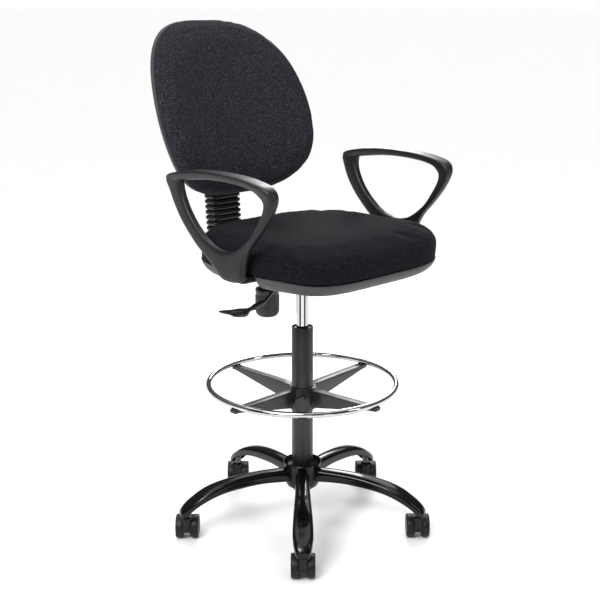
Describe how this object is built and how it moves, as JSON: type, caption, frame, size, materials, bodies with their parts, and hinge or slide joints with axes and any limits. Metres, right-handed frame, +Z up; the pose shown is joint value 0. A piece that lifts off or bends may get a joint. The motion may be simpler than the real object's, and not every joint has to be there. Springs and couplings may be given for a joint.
{
  "type": "drafting chair",
  "caption": "Drafting chair with padded seat and back, loop arms, gas lift, clamped foot ring and a star base on twin-wheel casters.",
  "frame": {"origin": "on the floor, on the column's axis", "axes": "+Z up along the column; the sitter faces -Y; +X is the sitter's left"},
  "size_m": [0.6293, 0.6388, 1.1844],
  "materials": {
    "gloss_black_steel": "gloss black paint on pressed steel",
    "satin_black_steel": "satin black powder coat",
    "zinc_steel": "zinc plated",
    "chrome_plate": "polished chrome plate",
    "black_nylon": "moulded black nylon",
    "ribbed_black_plastic": "moulded black plastic, fine texture",
    "black_rod": "black painted rod",
    "plywood": "moulded plywood",
    "charcoal_fabric": "speckled charcoal woven fabric",
    "shell_plastic": "satin textured dark grey plastic",
    "arm_plastic": "satin textured black-grey plastic",
    "boot_rubber": "glossy black pleated rubber",
    "caster_nylon": "matte dark grey nylon",
    "wheel_nylon": "matte dark grey nylon tread"
  },
  "bodies": {
    "base": {"base_hub": "gloss_black_steel", "base_legs": "gloss_black_steel", "caster_sockets": "zinc_steel", "column_tube": "satin_black_steel", "guide_sleeve": "black_nylon", "thrust_bearing": "zinc_steel"},
    "swivel": {"piston_rod": "chrome_plate", "retaining_clip": "zinc_steel"},
    "seat": {"gas_cylinder": "chrome_plate", "mechanism_housing": "satin_black_steel", "pivot_pin": "zinc_steel", "tension_bolt": "zinc_steel", "seat_pan": "plywood", "seat_cushion": "charcoal_fabric", "seat_shell": "shell_plastic", "seat_bolts": "zinc_steel", "arm_left": "arm_plastic", "arm_right": "arm_plastic"},
    "release": {"release_button": "zinc_steel"},
    "lever": {"height_lever": "black_rod", "lever_grip": "ribbed_black_plastic"},
    "tension": {"tension_knob": "ribbed_black_plastic", "tension_sleeve": "ribbed_black_plastic", "tension_spring": "zinc_steel"},
    "back_frame": {"back_bar": "satin_black_steel", "bellows": "boot_rubber"},
    "backrest": {"back_bracket": "satin_black_steel", "back_panel": "plywood", "back_cushion": "charcoal_fabric", "back_shell": "shell_plastic", "back_screws": "zinc_steel"},
    "ring_carrier": {"ring_bush": "black_nylon"},
    "footring": {"ring_spider": "satin_black_steel", "ring_tube": "chrome_plate", "ring_caps": "black_nylon", "ring_screws": "zinc_steel"},
    "ring_clamp": {"ring_knob": "black_nylon"},
    "caster_1": {"caster_hood_1": "caster_nylon", "caster_steel_1": "zinc_steel"},
    "wheel_l1": {"wheel_left_1": "wheel_nylon"},
    "wheel_r1": {"wheel_right_1": "wheel_nylon"},
    "caster_2": {"caster_hood_2": "caster_nylon", "caster_steel_2": "zinc_steel"},
    "wheel_l2": {"wheel_left_2": "wheel_nylon"},
    "wheel_r2": {"wheel_right_2": "wheel_nylon"},
    "caster_3": {"caster_hood_3": "caster_nylon", "caster_steel_3": "zinc_steel"},
    "wheel_l3": {"wheel_left_3": "wheel_nylon"},
    "wheel_r3": {"wheel_right_3": "wheel_nylon"},
    "caster_4": {"caster_hood_4": "caster_nylon", "caster_steel_4": "zinc_steel"},
    "wheel_l4": {"wheel_left_4": "wheel_nylon"},
    "wheel_r4": {"wheel_right_4": "wheel_nylon"},
    "caster_5": {"caster_hood_5": "caster_nylon", "caster_steel_5": "zinc_steel"},
    "wheel_l5": {"wheel_left_5": "wheel_nylon"},
    "wheel_r5": {"wheel_right_5": "wheel_nylon"}
  },
  "joints": [
    {"name": "seat_swivel", "type": "hinge", "parent": "base", "child": "swivel", "pos_m": [0, 0, 0.1], "axis": [0, 0, 1], "continuous": true},
    {"name": "seat_lift", "type": "slide", "parent": "swivel", "child": "seat", "axis": [0, 0, 1], "range_m": [-0.075, 0.175]},
    {"name": "lever_tip", "type": "hinge", "parent": "seat", "child": "lever", "pos_m": [-0.0415, 0, 0.624], "axis": [0, 1, 0], "range_deg": [0, 4.5], "stiffness_Nm_per_rad": 0.6, "springref_deg": -14.32},
    {"name": "button_travel", "type": "slide", "parent": "seat", "child": "release", "axis": [0, 0, -1], "range_m": [0, 0.0036]},
    {"name": "tension_turn", "type": "hinge", "parent": "seat", "child": "tension", "pos_m": [0, 0.119, 0.53], "axis": [0, 0, 1], "range_deg": [-360, 360]},
    {"name": "back_tilt", "type": "hinge", "parent": "seat", "child": "back_frame", "pos_m": [0, 0.088, 0.612], "axis": [-1, 0, 0], "range_deg": [0, 12], "stiffness_Nm_per_rad": 80, "springref_deg": -20.05, "deforming": ["tension_spring"]},
    {"name": "back_height", "type": "slide", "parent": "back_frame", "child": "backrest", "axis": [0, 0.0698, 0.9976], "range_m": [-0.03, 0.04], "deforming": ["bellows"]},
    {"name": "ring_height", "type": "slide", "parent": "base", "child": "ring_carrier", "axis": [0, 0, 1], "range_m": [-0.12, 0.06]},
    {"name": "ring_turn", "type": "hinge", "parent": "ring_carrier", "child": "footring", "pos_m": [0, 0, 0.32], "axis": [0, 0, 1], "continuous": true},
    {"name": "ring_clamp_turn", "type": "hinge", "parent": "footring", "child": "ring_clamp", "pos_m": [-0.03504, -0.03566, 0.32], "axis": [-0.7009, -0.7133, 0], "range_deg": [-360, 360]},
    {"name": "caster_1_swivel", "type": "hinge", "parent": "base", "child": "caster_1", "pos_m": [-0.19869, -0.20432, 0.06], "axis": [0, 0, 1], "continuous": true},
    {"name": "wheel_l1_roll", "type": "hinge", "parent": "caster_1", "child": "wheel_l1", "pos_m": [-0.18608, -0.19148, 0.025], "axis": [0.7133, -0.7009, 0], "continuous": true},
    {"name": "wheel_r1_roll", "type": "hinge", "parent": "caster_1", "child": "wheel_r1", "pos_m": [-0.18608, -0.19148, 0.025], "axis": [0.7133, -0.7009, 0], "continuous": true},
    {"name": "caster_2_swivel", "type": "hinge", "parent": "base", "child": "caster_2", "pos_m": [0.13292, -0.25211, 0.06], "axis": [0, 0, 1], "continuous": true},
    {"name": "wheel_l2_roll", "type": "hinge", "parent": "caster_2", "child": "wheel_l2", "pos_m": [0.14554, -0.23927, 0.025], "axis": [0.7133, -0.7009, 0], "continuous": true},
    {"name": "wheel_r2_roll", "type": "hinge", "parent": "caster_2", "child": "wheel_r2", "pos_m": [0.14554, -0.23927, 0.025], "axis": [0.7133, -0.7009, 0], "continuous": true},
    {"name": "caster_3_swivel", "type": "hinge", "parent": "base", "child": "caster_3", "pos_m": [0.28084, 0.04851, 0.06], "axis": [0, 0, 1], "continuous": true},
    {"name": "wheel_l3_roll", "type": "hinge", "parent": "caster_3", "child": "wheel_l3", "pos_m": [0.29346, 0.06135, 0.025], "axis": [0.7133, -0.7009, 0], "continuous": true},
    {"name": "wheel_r3_roll", "type": "hinge", "parent": "caster_3", "child": "wheel_r3", "pos_m": [0.29346, 0.06135, 0.025], "axis": [0.7133, -0.7009, 0], "continuous": true},
    {"name": "caster_4_swivel", "type": "hinge", "parent": "base", "child": "caster_4", "pos_m": [0.04065, 0.28209, 0.06], "axis": [0, 0, 1], "continuous": true},
    {"name": "wheel_l4_roll", "type": "hinge", "parent": "caster_4", "child": "wheel_l4", "pos_m": [0.05327, 0.29492, 0.025], "axis": [0.7133, -0.7009, 0], "continuous": true},
    {"name": "wheel_r4_roll", "type": "hinge", "parent": "caster_4", "child": "wheel_r4", "pos_m": [0.05327, 0.29492, 0.025], "axis": [0.7133, -0.7009, 0], "continuous": true},
    {"name": "caster_5_swivel", "type": "hinge", "parent": "base", "child": "caster_5", "pos_m": [-0.25572, 0.12583, 0.06], "axis": [0, 0, 1], "continuous": true},
    {"name": "wheel_l5_roll", "type": "hinge", "parent": "caster_5", "child": "wheel_l5", "pos_m": [-0.2431, 0.13867, 0.025], "axis": [0.7133, -0.7009, 0], "continuous": true},
    {"name": "wheel_r5_roll", "type": "hinge", "parent": "caster_5", "child": "wheel_r5", "pos_m": [-0.2431, 0.13867, 0.025], "axis": [0.7133, -0.7009, 0], "continuous": true}
  ],
  "couplings": [
    {"joint": "button_travel", "follows": "lever_tip", "m_per_rad": 0.0415}
  ]
}
